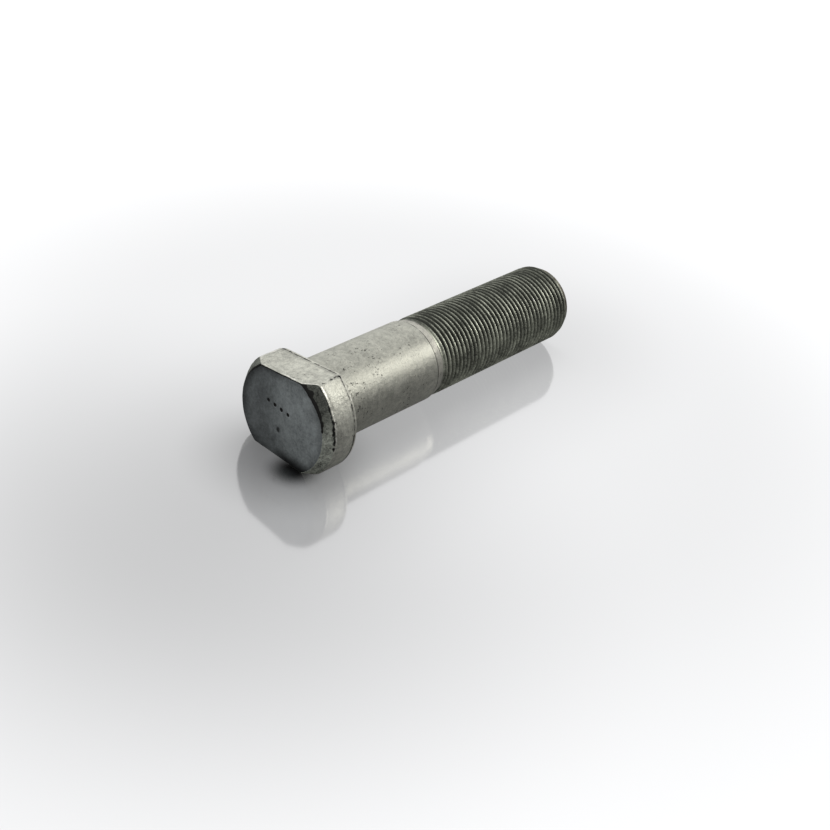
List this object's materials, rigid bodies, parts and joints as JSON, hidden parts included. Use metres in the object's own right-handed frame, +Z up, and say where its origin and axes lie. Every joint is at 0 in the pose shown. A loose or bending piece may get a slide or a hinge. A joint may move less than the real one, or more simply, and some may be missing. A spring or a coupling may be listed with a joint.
{
  "type": "wheel bolt",
  "caption": "Forged wheel bolt: round head with flats on two sides, plain shank and a fine right-hand thread, in a dull silver-grey coat.",
  "frame": {"origin": "on the floor under the middle of the lying bolt's box", "axes": "+X from the head to the thread's end, +Z up, +Y to the left looking along +X; the bolt's own axis dips 0.3 degrees towards the thread's end"},
  "size_m": [0.1022, 0.0324, 0.025],
  "materials": {
    "coated_steel": "dull silver-grey zinc flake coat over forged and rolled steel"
  },
  "bodies": {
    "root": {"wheel_bolt": "coated_steel"}
  },
  "joints": []
}
